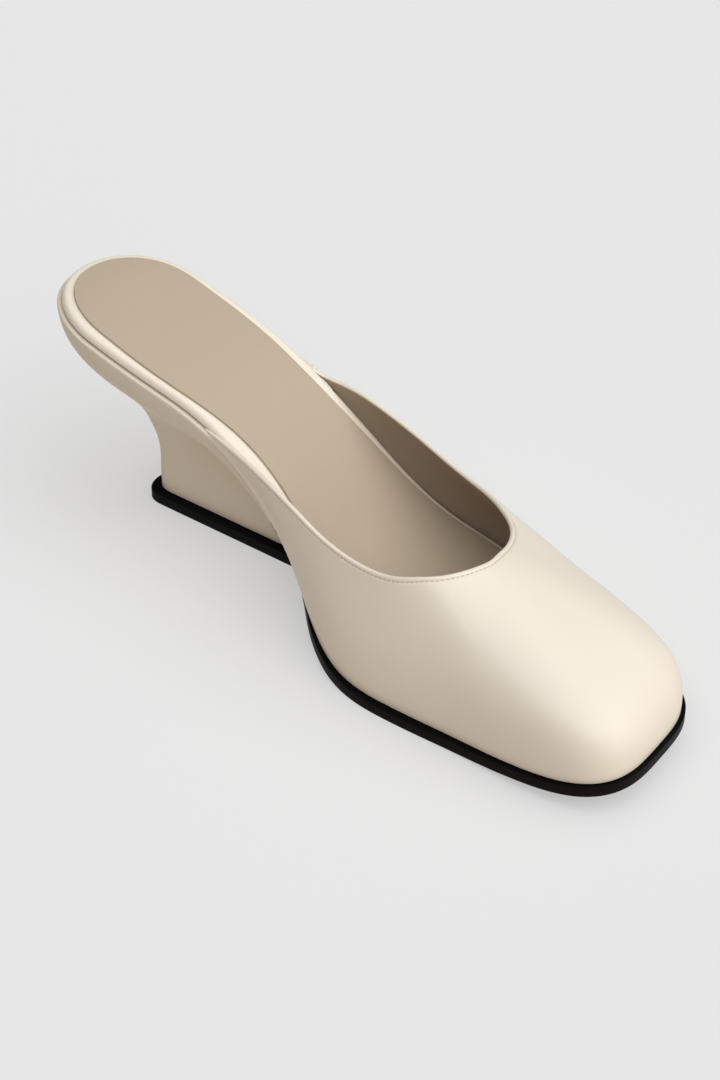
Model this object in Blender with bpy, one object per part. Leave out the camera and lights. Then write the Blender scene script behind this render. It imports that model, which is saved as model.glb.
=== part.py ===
"""A closed toe mule with a slim wedge heel: the left shoe of a pair, at its real size, empty on its sole.

+X runs from the heel to the toe, +Y to the outer side of the foot and +Z up. The shape is worked out from the
edge of the insole board, which is the feather line of the last: the sock lining, the upper, the outsole and the
ledge of the heel all follow that edge at their own distance. They lie on one bed, the surface under the board.
"""

import math

import bmesh
import bpy
import numpy as np
from mathutils import Vector

MM = 0.001

# Driving dimensions, in metres
LENGTH = 244.0 * MM  # from the back of the heel ledge to the tip of the toe
BALL_WIDTH = 83.0 * MM  # across the outsole at the ball of the foot
SEAT_HEIGHT = 66.6 * MM  # from the floor to the bed at the back of the heel
INSTEP_HEIGHT = 48.0 * MM  # from the floor to the throat of the upper
TOE_SPRING = 7.6 * MM  # how far the tip of the sole is off the floor
SOLE_THICKNESS = 3.6 * MM
INSOLE_THICKNESS = 2.6 * MM
SOCK_THICKNESS = 0.6 * MM
UPPER_WALL = 1.8 * MM  # leather and lining together
WING_WALL = 0.9 * MM  # the same at the tips of the wings, where it is skived
SKIVE = 14.0 * MM  # how far from a tip the wall is full again
CLEARANCE = 0.3 * MM  # between pieces that are cemented together
LEDGE_DROP = 0.2 * MM  # how far the edge of the ledge lies under the bed, clear of the wings of the upper
WELT = 1.4 * MM  # how far the outsole stands out past the upper
LEDGE = 1.6 * MM  # how far the heel stands out past the insole board
INSOLE_ROLL = 1.9 * MM  # the rounded upper edge of the insole board
SOLE_EDGE = 0.6 * MM  # the rounded edge of the outsole and of the top piece
TOP_PIECE_THICKNESS = 4.5 * MM  # the black piece that the heel walks on
TOP_PIECE_FLANGE = 2.6 * MM  # how far it stands out past the foot of the heel
TOP_PIECE_WIDTH = 25.4 * MM
TOP_PIECE_SETBACK = 37.0 * MM  # from the back of the ledge to the back of the top piece
TOP_PIECE_CORNER = 8.5 * MM  # how far its rounded back corners reach forward
TOP_PIECE_CENTRE = 1.4 * MM  # how far its back end lies to the outer side
TOP_PIECE_TURN = 0.109  # its turn to the outer side, for each metre forward
TOP_PIECE_POWER = 2.9
HEEL_FRONT = 102.0 * MM  # from the back of the ledge to the breast of the heel

# Places along the shoe, as shares of LENGTH
HEEL_ROUND_SHARE = 0.123  # where the round back of the board ends
TOE_ROUND_SHARE = 0.834  # where the square toe begins
SPRING_START_SHARE = 0.72
MEDIAL_WING_SHARE = 0.3185  # where the inner wing of the upper starts
LATERAL_WING_SHARE = 0.294
HEEL_POWER = 2.1  # 2 is an ellipse, more is squarer
TOE_POWER = 3.5
TOE_SLANT_SHARE = 0.145  # the toe is further forward on the inner side, by this share of the distance across
TOE_TRIM_SHARE = 0.0071  # what the slant adds to the length, taken off the board
TOE_SLANT_START_SHARE = 0.78
SPRING_POWER = 1.9
SOLE_SHOULDER_SHARE = 0.15  # how far down the sole's side starts, as a share of its thickness
SLOPE_STEP_SHARE = 0.002  # the step over which the bed's slope is taken
RUNG_MARGIN_SHARE = 0.004  # how far a rung stays from the breast of the heel
INSIDE_POINT = (0.6, 0.0, 0.25)  # a point inside the upper, as shares of its length, width and instep height

# The edge of the insole board: share of LENGTH, then its centre line and half width as shares of BALL_WIDTH
BOARD = (
    (0.00, 0.012, 0.277),
    (0.06, 0.014, 0.287),
    (0.14, 0.024, 0.292),
    (0.22, 0.048, 0.288),
    (0.30, 0.073, 0.273),
    (0.38, 0.098, 0.280),
    (0.46, 0.110, 0.322),
    (0.54, 0.084, 0.407),
    (0.60, 0.058, 0.454),
    (0.68, 0.035, 0.441),
    (0.76, 0.019, 0.400),
    (0.84, 0.004, 0.368),
    (0.92, -0.010, 0.337),
    (1.00, -0.025, 0.311),
)

# The bed: share of LENGTH, then its height above the tread as a share of the height of the seat above it
BED = (
    (0.00, 1.000),
    (0.06, 0.983),
    (0.14, 0.922),
    (0.22, 0.838),
    (0.28, 0.759),
    (0.34, 0.632),
    (0.40, 0.454),
    (0.46, 0.254),
    (0.52, 0.102),
    (0.58, 0.030),
    (0.64, 0.003),
    (0.70, 0.000),
    (1.00, 0.000),
)

# How far the sock lining is cut back from the edge of the board: share of LENGTH, then the inner and the outer
# side as shares of BALL_WIDTH
SOCK_INSET = (
    (0.00, 0.046, 0.046),
    (0.10, 0.043, 0.040),
    (0.20, 0.030, 0.045),
    (0.28, 0.034, 0.050),
    (0.35, 0.062, 0.048),
    (0.42, 0.070, 0.036),
    (0.50, 0.058, 0.030),
    (0.58, 0.044, 0.032),
    (1.00, 0.040, 0.040),
)

# The outsole past the upper: share of LENGTH, share of WELT. It is tucked in under the waist
WELT_RUN = (
    (0.38, -1.6),
    (0.42, -1.6),
    (0.46, -1.5),
    (0.50, -0.6),
    (0.53, 0.4),
    (0.56, 0.9),
    (0.62, 1.3),
    (0.78, 1.3),
    (0.88, 1.0),
    (1.00, 1.0),
)

# The side of the heel: height as a share of the column's own height, flare from the foot to the ledge
HEEL_FLARE = (
    (0.00, 0.00),
    (0.12, 0.00),
    (0.25, 0.00),
    (0.36, 0.04),
    (0.44, 0.10),
    (0.51, 0.17),
    (0.58, 0.28),
    (0.65, 0.44),
    (0.74, 0.68),
    (0.86, 0.92),
    (1.00, 1.00),
)

# Sections of the upper, from the tip of the inner wing round the toe to the tip of the outer wing:
# share of the foot line, topline point as shares of LENGTH, BALL_WIDTH and INSTEP_HEIGHT, then the section's
# own curve: rise of the wall (share of its height), lean outwards (share of BALL_WIDTH), and at the topline
# reach towards the foot (share of its run) and drop (share of its height)
SECTIONS = (
    (0.000, 0.309, -0.216, 1.040, 0.33, 0.000, 0.33, 0.33),
    (0.050, 0.377, -0.248, 1.024, 0.33, 0.008, 0.33, 0.33),
    (0.100, 0.440, -0.290, 1.021, 0.33, 0.018, 0.33, 0.33),
    (0.155, 0.501, -0.320, 0.977, 0.41, 0.028, 0.42, 0.35),
    (0.200, 0.562, -0.343, 0.926, 0.46, 0.026, 0.56, 0.38),
    (0.250, 0.640, -0.344, 0.922, 0.50, 0.022, 0.78, 0.42),
    (0.300, 0.686, -0.304, 0.975, 0.52, 0.021, 0.92, 0.46),
    (0.350, 0.712, -0.245, 1.002, 0.50, 0.020, 0.97, 0.50),
    (0.400, 0.727, -0.170, 1.009, 0.50, 0.019, 0.97, 0.54),
    (0.440, 0.733, -0.110, 1.004, 0.51, 0.019, 0.93, 0.52),
    (0.480, 0.734, -0.050, 0.990, 0.55, 0.019, 0.85, 0.45),
    (0.515, 0.729, 0.006, 0.971, 0.60, 0.019, 0.77, 0.35),
    (0.550, 0.721, 0.078, 0.935, 0.63, 0.019, 0.71, 0.28),
    (0.590, 0.700, 0.184, 0.877, 0.57, 0.020, 0.63, 0.30),
    (0.630, 0.670, 0.269, 0.833, 0.53, 0.022, 0.56, 0.32),
    (0.685, 0.625, 0.339, 0.810, 0.50, 0.026, 0.51, 0.33),
    (0.735, 0.586, 0.371, 0.800, 0.46, 0.029, 0.45, 0.34),
    (0.785, 0.539, 0.388, 0.826, 0.41, 0.028, 0.41, 0.34),
    (0.825, 0.495, 0.394, 0.880, 0.36, 0.022, 0.36, 0.33),
    (0.875, 0.439, 0.395, 0.946, 0.33, 0.014, 0.33, 0.33),
    (0.925, 0.373, 0.390, 0.994, 0.33, 0.006, 0.33, 0.33),
    (0.970, 0.315, 0.376, 1.028, 0.33, 0.000, 0.33, 0.33),
    (1.000, 0.283, 0.364, 1.092, 0.33, 0.000, 0.33, 0.33),
)

# How finely the forms are cut
HEEL_RUNGS = 8
WAIST_RUNGS = 29
TOE_RUNGS = 8
FIRST_TURN = math.radians(5.0)  # the first and last rungs stop just short of the ends
SECTION_STEPS = 13
ROLL_STEPS = 3
SMOOTH_ANGLE = math.radians(38.0)

# Name: base colour, roughness, metallic
MATERIALS = {
    "cream_leather": ((0.84, 0.76, 0.64, 1.0), 0.42, 0.0),
    "cream_heel_cover": ((0.83, 0.75, 0.63, 1.0), 0.42, 0.0),
    "cream_insole_edge": ((0.85, 0.78, 0.67, 1.0), 0.42, 0.0),
    "taupe_sock": ((0.52, 0.41, 0.31, 1.0), 0.55, 0.0),
    "black_sole": ((0.012, 0.010, 0.009, 1.0), 0.5, 0.0),
    "black_top_piece": ((0.010, 0.010, 0.010, 1.0), 0.55, 0.0),
}


def natural_spline(rows, column):
    """A natural cubic through one column of a table, as a function of the table's first column."""
    keys = np.array([row[0] for row in rows])
    values = np.array([row[column] for row in rows])
    gaps = np.diff(keys)
    rises = np.diff(values) / gaps
    system = np.eye(len(keys))
    right = np.zeros(len(keys))
    for i in range(1, len(keys) - 1):
        system[i, i - 1 : i + 2] = gaps[i - 1], 2 * (gaps[i - 1] + gaps[i]), gaps[i]
        right[i] = 6 * (rises[i] - rises[i - 1])
    bends = np.linalg.solve(system, right)

    def value(key):
        i = int(np.clip(np.searchsorted(keys, key) - 1, 0, len(gaps) - 1))
        step = gaps[i]
        a = (keys[i + 1] - key) / step
        b = (key - keys[i]) / step
        bend = (a**3 - a) * bends[i] + (b**3 - b) * bends[i + 1]
        return float(a * values[i] + b * values[i + 1] + bend * step**2 / 6)

    return value


board_centre = natural_spline(BOARD, 1)
board_half = natural_spline(BOARD, 2)
bed_height = natural_spline(BED, 1)


def bed(x):
    """Height of the bed, the top of the outsole and of the heel, at a distance x from the back."""
    share = x / LENGTH
    seat = (SEAT_HEIGHT - SOLE_THICKNESS) * max(0.0, bed_height(min(max(share, 0.0), 1.0)))
    spring = max(0.0, (share - SPRING_START_SHARE) / (1.0 - SPRING_START_SHARE)) ** SPRING_POWER
    return SOLE_THICKNESS + seat + TOE_SPRING * spring


def bed_slope(x):
    """Rise of the bed for each metre towards the toe."""
    step = SLOPE_STEP_SHARE * LENGTH
    return (bed(x + step) - bed(x - step)) / (2 * step)


def on_bed(x, y, lift):
    """The point at a height lift above the bed, measured square to it, so that layers keep an even gap."""
    slope = bed_slope(x)
    length = math.hypot(1.0, slope)
    return Vector((x - lift * slope / length, y, bed(x) + lift / length))


def end_turns(count):
    """Angles from the end of a round to where it meets the straight, without that last one."""
    return [FIRST_TURN + (math.pi / 2 - FIRST_TURN) * i / count for i in range(count)]


def board_stations():
    """Pairs of a share of LENGTH and a share of the half width there, from the heel to the toe."""
    back = LEDGE / LENGTH
    front = 1.0 - (CLEARANCE + UPPER_WALL + WELT) / LENGTH - TOE_TRIM_SHARE
    stations = []
    for turn in end_turns(HEEL_RUNGS):
        along = math.cos(turn) ** (2 / HEEL_POWER)
        width = math.sin(turn) ** (2 / HEEL_POWER)
        stations.append((HEEL_ROUND_SHARE - (HEEL_ROUND_SHARE - back) * along, width))
    for i in range(WAIST_RUNGS + 1):
        run = i / WAIST_RUNGS
        stations.append((HEEL_ROUND_SHARE + (TOE_ROUND_SHARE - HEEL_ROUND_SHARE) * run, 1.0))
    for turn in reversed(end_turns(TOE_RUNGS)):
        along = math.cos(turn) ** (2 / TOE_POWER)
        width = math.sin(turn) ** (2 / TOE_POWER)
        stations.append((TOE_ROUND_SHARE + (front - TOE_ROUND_SHARE) * along, width))
    return stations


def board_sides():
    """The inner and the outer edge of the board from the heel to the toe, as two lists of points in plan."""
    inner, outer = [], []
    for share, width in board_stations():
        centre = board_centre(share) * BALL_WIDTH
        half = board_half(share) * width * BALL_WIDTH
        run = (share - TOE_SLANT_START_SHARE) / (TOE_ROUND_SHARE - TOE_SLANT_START_SHARE)
        slant = TOE_SLANT_SHARE * max(0.0, min(1.0, run))
        for side, y in ((inner, centre - half), (outer, centre + half)):
            side.append((share * LENGTH - slant * y, y))
    return inner, outer


def edge_at(offset):
    """The edge of the board moved outwards: inner points from heel to toe, then outer points back.

    The offset is a length, or a function that gives one for a share of LENGTH and a side, 0 inner and 1 outer.
    """
    inner, outer = board_sides()
    loop = inner + outer[::-1]
    moved = []
    for i, (x, y) in enumerate(loop):
        before, after = loop[i - 1], loop[(i + 1) % len(loop)]
        along = Vector((after[0] - before[0], after[1] - before[1])).normalized()
        distance = offset(x / LENGTH, i >= len(inner)) if callable(offset) else offset
        moved.append((x + along.y * distance, y - along.x * distance))
    return moved


def ring_on_bed(offset, lift):
    """A closed ring that follows the board's edge at an offset, lifted square to the bed."""
    return [on_bed(x, y, lift) for x, y in edge_at(offset)]


def tapered_offset(table, unit, base):
    """An offset that changes along the shoe: a base length and a table's share of a unit for each side."""
    first, last = table[0][0], table[-1][0]
    sides = [natural_spline(table, 1), natural_spline(table, len(table[0]) - 1)]
    return lambda share, side: base + unit * sides[side](min(max(share, first), last))


def loft(name, rings, material):
    """A closed solid through rings of equal count. The two halves of the first and last ring face each other."""
    mesh = bpy.data.meshes.new(name)
    bm = bmesh.new()
    rows = [[bm.verts.new(point) for point in ring] for ring in rings]
    count = len(rows[0])
    for low, high in zip(rows, rows[1:]):
        for i in range(count):
            j = (i + 1) % count
            bm.faces.new((low[i], low[j], high[j], high[i]))
    for row in (rows[0], rows[-1]):
        for i in range(count // 2 - 1):
            bm.faces.new((row[i], row[i + 1], row[count - 2 - i], row[count - 1 - i]))
    bmesh.ops.recalc_face_normals(bm, faces=bm.faces)
    bm.to_mesh(mesh)
    bm.free()
    mesh.shade_smooth()
    mesh.set_sharp_from_angle(angle=SMOOTH_ANGLE)
    mesh.materials.append(material)
    return bpy.data.objects.new(name, mesh)


def sole_levels():
    """Pairs of how far in and how deep the outsole's side is cut, depths as shares of its thickness."""
    side = 1.0 - SOLE_EDGE / SOLE_THICKNESS
    return ((SOLE_EDGE, 1.0), (0.0, side), (0.0, SOLE_SHOULDER_SHARE), (0.5 * SOLE_EDGE, 0.0))


def sole_leather(materials):
    """The outsole, from the breast of the heel to the toe: flat at the tread, sprung at the toe."""
    past_board = CLEARANCE + UPPER_WALL
    start = HEEL_FRONT + CLEARANCE
    margin = start / LENGTH + RUNG_MARGIN_SHARE
    first = next(i for i, station in enumerate(board_stations()) if station[0] > margin)
    rings = []
    for inset, depth in sole_levels():
        edge = edge_at(tapered_offset(WELT_RUN, WELT, past_board - inset))
        half = len(edge) // 2
        inner = edge[first:half]
        outer = edge[half : len(edge) - first]
        points = []
        for x, y in [(start, inner[0][1]), *inner, *outer, (start, outer[-1][1])]:
            thickness = SOLE_THICKNESS * math.hypot(1.0, bed_slope(x))
            points.append(Vector((x, y, bed(x) - thickness * depth)))
        rings.append(points)
    return loft("outsole", rings, materials["black_sole"])


def insole(materials):
    """The insole board, wrapped in leather, with its upper edge rolled."""
    rings = [ring_on_bed(0.0, CLEARANCE), ring_on_bed(0.0, CLEARANCE + INSOLE_THICKNESS - INSOLE_ROLL)]
    for i in range(1, ROLL_STEPS + 1):
        turn = math.pi / 2 * i / ROLL_STEPS
        inset = INSOLE_ROLL * (1.0 - math.cos(turn))
        lift = CLEARANCE + INSOLE_THICKNESS - INSOLE_ROLL * (1.0 - math.sin(turn))
        rings.append(ring_on_bed(-inset, lift))
    return loft("insole", rings, materials["cream_insole_edge"])


def sock_lining(materials):
    """The sock lining, a thin sheet on the insole board, cut back from its edge."""
    under = INSOLE_THICKNESS + 2 * CLEARANCE
    edge = tapered_offset(SOCK_INSET, -BALL_WIDTH, 0.0)
    rings = [ring_on_bed(edge, under), ring_on_bed(edge, under + SOCK_THICKNESS)]
    return loft("sock_lining", rings, materials["taupe_sock"])


def heel_line(x):
    """The middle of the foot of the heel, which turns a little towards the outer side as it runs forward."""
    return TOP_PIECE_CENTRE + TOP_PIECE_TURN * (x - TOP_PIECE_SETBACK)


def heel_foot(inset):
    """The outline of the top piece drawn in by an inset, with a point for each rung of the heel's ledge."""
    back, front = TOP_PIECE_SETBACK + inset, HEEL_FRONT
    half = TOP_PIECE_WIDTH / 2 - inset
    corner = TOP_PIECE_CORNER
    inner, outer = [], []
    for share, _ in heel_stations():
        if share < HEEL_ROUND_SHARE:
            turn = math.acos(min(1.0, (HEEL_ROUND_SHARE - share) / HEEL_ROUND_SHARE))
            x = back + corner * (1.0 - math.cos(turn) ** (2 / TOP_PIECE_POWER))
            width = math.sin(turn) ** (2 / TOP_PIECE_POWER)
        else:
            run = (share - HEEL_ROUND_SHARE) / (HEEL_FRONT / LENGTH - HEEL_ROUND_SHARE)
            x, width = back + corner + (front - back - corner) * run, 1.0
        inner.append((x, heel_line(x) - half * width))
        outer.append((x, heel_line(x) + half * width))
    return inner, outer


def heel_stations():
    """The board's stations that lie over the heel, and one at its breast."""
    breast = HEEL_FRONT / LENGTH
    return [station for station in board_stations() if station[0] < breast - RUNG_MARGIN_SHARE] + [(breast, 1.0)]


def ledge_edge():
    """The edge of the heel's ledge, with the same rungs as its foot."""
    loop = edge_at(LEDGE)
    half = len(loop) // 2
    sides = []
    for side in (loop[:half], loop[half:][::-1]):
        kept = side[: len(heel_stations()) - 1]
        after = side[len(kept)]
        before = kept[-1]
        run = (HEEL_FRONT - before[0]) / (after[0] - before[0])
        sides.append(kept + [(HEEL_FRONT, before[1] + run * (after[1] - before[1]))])
    return sides


def heel(materials):
    """The covered wedge: upright at its foot, flaring out to the ledge under the insole board."""
    flare = natural_spline(HEEL_FLARE, 1)
    feet = heel_foot(TOP_PIECE_FLANGE)
    ledges = ledge_edge()
    foot = feet[0] + feet[1][::-1]
    ledge = ledges[0] + ledges[1][::-1]
    ground = TOP_PIECE_THICKNESS + CLEARANCE
    rings = []
    for share, _ in HEEL_FLARE:
        ring = []
        for (foot_x, foot_y), (top_x, top_y) in zip(foot, ledge):
            out = flare(share)
            height = ground + share * (bed(top_x) - LEDGE_DROP - ground)
            ring.append(Vector((foot_x + out * (top_x - foot_x), foot_y + out * (top_y - foot_y), height)))
        rings.append(ring)
    return loft("heel", rings, materials["cream_heel_cover"])


def top_piece(materials):
    """The black piece under the heel, a little wider than its foot, with its lower edge on the floor."""
    rings = []
    side = TOP_PIECE_THICKNESS - SOLE_EDGE
    for inset, height in ((SOLE_EDGE, 0.0), (0.0, SOLE_EDGE), (0.0, side), (SOLE_EDGE, TOP_PIECE_THICKNESS)):
        inner, outer = heel_foot(inset)
        rings.append([Vector((x, y, height)) for x, y in inner + outer[::-1]])
    return loft("heel_top_piece", rings, materials["black_top_piece"])


def foot_line(offset):
    """The foot of the upper on the bed, from the tip of the inner wing round the toe to the outer wing."""
    board = edge_at(0.0)
    half = len(board) // 2
    starts = [MEDIAL_WING_SHARE * LENGTH] * half + [LATERAL_WING_SHARE * LENGTH] * half
    points = []
    for (x, y), (board_x, _), start in zip(edge_at(offset), board, starts):
        if board_x > start:
            points.append(on_bed(x, y, CLEARANCE))
    return points


def section_curve(foot, outward, row):
    """One section of the upper's outer face, from its foot to the topline: a cubic Bezier through four points."""
    top_x, top_y, top_z, rise, lean, reach, drop = row
    top = Vector((top_x * LENGTH, top_y * BALL_WIDTH, top_z * INSTEP_HEIGHT))
    run = Vector((foot.x - top.x, foot.y - top.y, 0.0))
    height = top.z - foot.z
    wall = foot + outward * (lean * BALL_WIDTH) + Vector((0.0, 0.0, rise * height))
    crown = top + run * reach - Vector((0.0, 0.0, drop * height))
    points = []
    for step in range(SECTION_STEPS + 1):
        t = step / SECTION_STEPS
        s = 1.0 - t
        points.append(foot * s**3 + wall * (3 * s * s * t) + crown * (3 * s * t * t) + top * t**3)
    return points


def grid_normals(grid, inside):
    """The outward normal at each point of a grid of points."""
    normals = []
    for i, line in enumerate(grid):
        before, after = grid[max(i - 1, 0)], grid[min(i + 1, len(grid) - 1)]
        row = []
        for j, point in enumerate(line):
            up = line[min(j + 1, len(line) - 1)] - line[max(j - 1, 0)]
            normal = (after[j] - before[j]).cross(up).normalized()
            row.append(normal if normal.dot(point - inside) > 0 else -normal)
        normals.append(row)
    return normals


def upper(materials):
    """The vamp and its two wings: one hollow shell of real thickness, open at the throat and underneath."""
    outer_foot = foot_line(CLEARANCE + UPPER_WALL)
    inner_foot = foot_line(CLEARANCE)
    lengths = [0.0]
    for before, after in zip(outer_foot, outer_foot[1:]):
        lengths.append(lengths[-1] + (after.xy - before.xy).length)
    curves = [natural_spline(SECTIONS, column) for column in range(1, 8)]
    grid = []
    for i, foot in enumerate(outer_foot):
        share = lengths[i] / lengths[-1]
        outward = (foot - inner_foot[i]) * Vector((1.0, 1.0, 0.0))
        grid.append(section_curve(foot, outward.normalized(), [curve(share) for curve in curves]))
    along, across, up = INSIDE_POINT
    inside = Vector((along * LENGTH, across * BALL_WIDTH, up * INSTEP_HEIGHT))
    normals = grid_normals(grid, inside)
    rings = []
    for i, line in enumerate(grid):
        from_tip = min(lengths[i], lengths[-1] - lengths[i])
        wall = WING_WALL + (UPPER_WALL - WING_WALL) * min(1.0, from_tip / SKIVE)
        lining = [point - normals[i][j] * wall for j, point in enumerate(line)]
        lining[0] = inner_foot[i]
        rings.append(line + lining[::-1])
    return loft("upper", rings, materials["cream_leather"])


def make_material(name, colour, roughness, metallic):
    """A Principled material with a base colour, roughness and metallic value."""
    material = bpy.data.materials.new(name)
    material.use_nodes = True
    shader = material.node_tree.nodes["Principled BSDF"]
    shader.inputs["Base Color"].default_value = colour
    shader.inputs["Roughness"].default_value = roughness
    shader.inputs["Metallic"].default_value = metallic
    material.diffuse_color = colour
    return material


def main():
    """Makes every piece and stands the shoe on the floor with the middle of its box over the origin."""
    for old in list(bpy.data.objects):
        bpy.data.objects.remove(old, do_unlink=True)
    collection = bpy.data.collections.new("closed_toe_mule")
    bpy.context.scene.collection.children.link(collection)
    materials = {name: make_material(name, *values) for name, values in MATERIALS.items()}
    shoe = bpy.data.objects.new("shoe", None)
    collection.objects.link(shoe)
    pieces = [make(materials) for make in (sole_leather, insole, sock_lining, heel, top_piece, upper)]
    corners = np.array([vertex.co for piece in pieces for vertex in piece.data.vertices])
    low, high = corners.min(axis=0), corners.max(axis=0)
    shoe.location = (-(low[0] + high[0]) / 2, -(low[1] + high[1]) / 2, -low[2])
    for piece in pieces:
        collection.objects.link(piece)
        piece.parent = shoe


main()
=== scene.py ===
"""Dresses the packed closed toe mule: its leathers, rolled edges, stitching, lining, floor, light and camera.

The left shoe of a pair stands empty on its sole. All sizes are in metres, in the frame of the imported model: +X runs
from the heel to the toe, +Y to the outer side of the foot and +Z up. Every piece is worked out from the edge of the
insole board and from the bed under it, as the solids are, but cut finer and with the edges that a shoemaker gives.
"""

from __future__ import annotations

import logging
import math
from collections.abc import Callable, Sequence
from dataclasses import dataclass, field
from enum import Enum

import bmesh
import bpy
import numpy as np
from mathutils import Matrix, Vector
from mathutils.geometry import interpolate_bezier

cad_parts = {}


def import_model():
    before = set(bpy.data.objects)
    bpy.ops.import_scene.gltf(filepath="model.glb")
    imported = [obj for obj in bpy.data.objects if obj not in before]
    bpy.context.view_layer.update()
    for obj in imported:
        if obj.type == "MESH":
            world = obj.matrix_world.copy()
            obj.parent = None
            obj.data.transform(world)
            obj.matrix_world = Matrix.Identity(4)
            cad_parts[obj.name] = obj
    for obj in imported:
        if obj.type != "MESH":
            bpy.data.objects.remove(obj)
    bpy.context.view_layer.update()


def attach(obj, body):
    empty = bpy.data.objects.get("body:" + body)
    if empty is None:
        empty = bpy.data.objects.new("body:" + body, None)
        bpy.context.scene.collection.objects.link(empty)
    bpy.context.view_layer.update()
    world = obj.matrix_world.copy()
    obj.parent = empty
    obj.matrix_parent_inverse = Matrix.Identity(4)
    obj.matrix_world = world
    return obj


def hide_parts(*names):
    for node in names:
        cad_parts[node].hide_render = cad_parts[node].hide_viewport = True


LOG = logging.getLogger("mule")
MM = 0.001


class Side(Enum):
    """The two sides of a left shoe."""

    INNER = 0
    OUTER = 1


class Curve:
    """A natural cubic through keyed values, held at its ends."""

    def __init__(self, keys: Sequence[float], values: Sequence[float]) -> None:
        """Solves the cubic once.

        Args:
            keys: Rising keys.
            values: The value at each key.
        """
        self.keys = np.array(keys, float)
        self.values = np.array(values, float)
        self.gaps = np.diff(self.keys)
        rises = np.diff(self.values) / self.gaps
        system = np.eye(len(self.keys))
        right = np.zeros(len(self.keys))
        for i in range(1, len(self.keys) - 1):
            system[i, i - 1 : i + 2] = self.gaps[i - 1], 2 * (self.gaps[i - 1] + self.gaps[i]), self.gaps[i]
            right[i] = 6 * (rises[i] - rises[i - 1])
        self.bends = np.linalg.solve(system, right)

    def __call__(self, key: float) -> float:
        """The value at a key."""
        key = min(max(key, self.keys[0]), self.keys[-1])
        i = int(np.clip(np.searchsorted(self.keys, key) - 1, 0, len(self.gaps) - 1))
        step = self.gaps[i]
        a = (self.keys[i + 1] - key) / step
        b = (key - self.keys[i]) / step
        bend = (a**3 - a) * self.bends[i] + (b**3 - b) * self.bends[i + 1]
        return float(a * self.values[i] + b * self.values[i + 1] + bend * step**2 / 6)


@dataclass(frozen=True)
class BoardRow:
    """One station of the insole board's edge."""

    along: float  # share of the shoe's length
    centre: float  # of the board's middle, as a share of the ball width
    half: float  # half width, as a share of the ball width


@dataclass(frozen=True)
class SockRow:
    """How far the sock lining is cut back from the board's edge at one station."""

    along: float
    inner: float
    outer: float


@dataclass(frozen=True)
class VampRow:
    """One section of the upper, from its foot to its topline."""

    around: float  # share of the foot line, from the tip of the inner wing round the toe to the outer tip
    top_along: float  # the topline's place, as a share of the shoe's length
    top_side: float  # the same across, as a share of the ball width
    top_height: float  # the same in height, as a share of the instep height
    rise: float  # how far the wall stands up, as a share of the section's height
    lean: float  # how far it leans out, as a share of the ball width
    reach: float  # how far the crown reaches towards the foot, as a share of the section's run
    drop: float  # how far it drops there, as a share of the section's height


BOARD = (
    BoardRow(0.00, 0.012, 0.277),
    BoardRow(0.06, 0.014, 0.287),
    BoardRow(0.14, 0.024, 0.292),
    BoardRow(0.22, 0.048, 0.288),
    BoardRow(0.30, 0.073, 0.273),
    BoardRow(0.38, 0.098, 0.280),
    BoardRow(0.46, 0.110, 0.322),
    BoardRow(0.54, 0.084, 0.407),
    BoardRow(0.60, 0.058, 0.454),
    BoardRow(0.68, 0.035, 0.441),
    BoardRow(0.76, 0.019, 0.400),
    BoardRow(0.84, 0.004, 0.368),
    BoardRow(0.92, -0.010, 0.337),
    BoardRow(1.00, -0.025, 0.311),
)

# The bed under the board: share of the length, share of the height of the seat
BED = (
    (0.00, 1.000),
    (0.06, 0.983),
    (0.14, 0.922),
    (0.22, 0.838),
    (0.28, 0.759),
    (0.34, 0.632),
    (0.40, 0.454),
    (0.46, 0.254),
    (0.52, 0.102),
    (0.58, 0.030),
    (0.64, 0.003),
    (0.70, 0.000),
    (1.00, 0.000),
)

SOCK = (
    SockRow(0.00, 0.046, 0.046),
    SockRow(0.10, 0.043, 0.040),
    SockRow(0.20, 0.030, 0.045),
    SockRow(0.28, 0.034, 0.050),
    SockRow(0.35, 0.062, 0.048),
    SockRow(0.42, 0.070, 0.036),
    SockRow(0.50, 0.058, 0.030),
    SockRow(0.58, 0.044, 0.032),
    SockRow(1.00, 0.040, 0.040),
)

# The outsole past the upper: share of the length, share of the welt. It is tucked in under the waist
WELT_RUN = (
    (0.38, -1.6),
    (0.42, -1.6),
    (0.46, -1.5),
    (0.50, -0.6),
    (0.53, 0.4),
    (0.56, 0.9),
    (0.62, 1.3),
    (0.78, 1.3),
    (0.88, 1.0),
    (1.00, 1.0),
)

# The side of the heel: share of its height, flare from the foot to the ledge
HEEL_FLARE = (
    (0.00, 0.00),
    (0.12, 0.00),
    (0.25, 0.00),
    (0.36, 0.04),
    (0.44, 0.10),
    (0.51, 0.17),
    (0.58, 0.28),
    (0.65, 0.44),
    (0.74, 0.68),
    (0.86, 0.92),
    (1.00, 1.00),
)

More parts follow.
